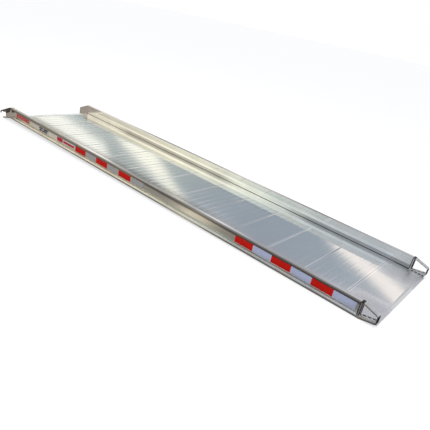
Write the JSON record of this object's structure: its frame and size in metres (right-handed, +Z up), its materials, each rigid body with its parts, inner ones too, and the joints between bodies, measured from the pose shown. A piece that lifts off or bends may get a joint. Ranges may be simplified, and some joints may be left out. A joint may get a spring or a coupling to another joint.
{
  "type": "loading ramp",
  "caption": "Rigid aluminium loading ramp with ribbed deck planks between raised side rails, a bevelled toe, toe handles and a down-bent truck end with steel hooks.",
  "frame": {"origin": "middle of the footprint at the level of the lowest points, which are the tips of the bent rail ends", "axes": "+X up the ramp from the toe to the truck end, +Y to the left rail, +Z up, square to the deck"},
  "size_m": [4.2, 0.9816, 0.148],
  "materials": {
    "rail_aluminium": "mill-finish extrusion, satin with a lengthwise grain",
    "deck_aluminium": "mill-finish extrusion, satin, ribbed",
    "hook_steel": "dark brown-black steel plate",
    "reflective_tape": "retroreflective film in red and white blocks",
    "warning_film": "muted red printed film",
    "label_film": "white printed film"
  },
  "bodies": {
    "root": {"rail_left": "rail_aluminium", "rail_right": "rail_aluminium", "rail_end_left": "rail_aluminium", "rail_end_right": "rail_aluminium", "edge_strip_left": "deck_aluminium", "edge_strip_right": "deck_aluminium", "deck_plank_01": "deck_aluminium", "deck_plank_02": "deck_aluminium", "deck_plank_03": "deck_aluminium", "deck_plank_04": "deck_aluminium", "deck_plank_05": "deck_aluminium", "deck_plank_06": "deck_aluminium", "deck_plank_07": "deck_aluminium", "deck_plank_08": "deck_aluminium", "deck_plank_09": "deck_aluminium", "deck_plank_10": "deck_aluminium", "deck_plank_11": "deck_aluminium", "deck_plank_12": "deck_aluminium", "toe_apron": "deck_aluminium", "lip_plate": "deck_aluminium", "rail_end_plate_left": "rail_aluminium", "rail_end_plate_right": "rail_aluminium", "handle_loop_left": "rail_aluminium", "handle_loop_right": "rail_aluminium", "hook_left": "hook_steel", "hook_right": "hook_steel", "tape_left_lower": "reflective_tape", "tape_left_upper": "reflective_tape", "tape_right_lower": "reflective_tape", "tape_right_upper": "reflective_tape", "warning_label": "warning_film", "data_label": "label_film", "maker_label": "label_film"}
  },
  "joints": []
}
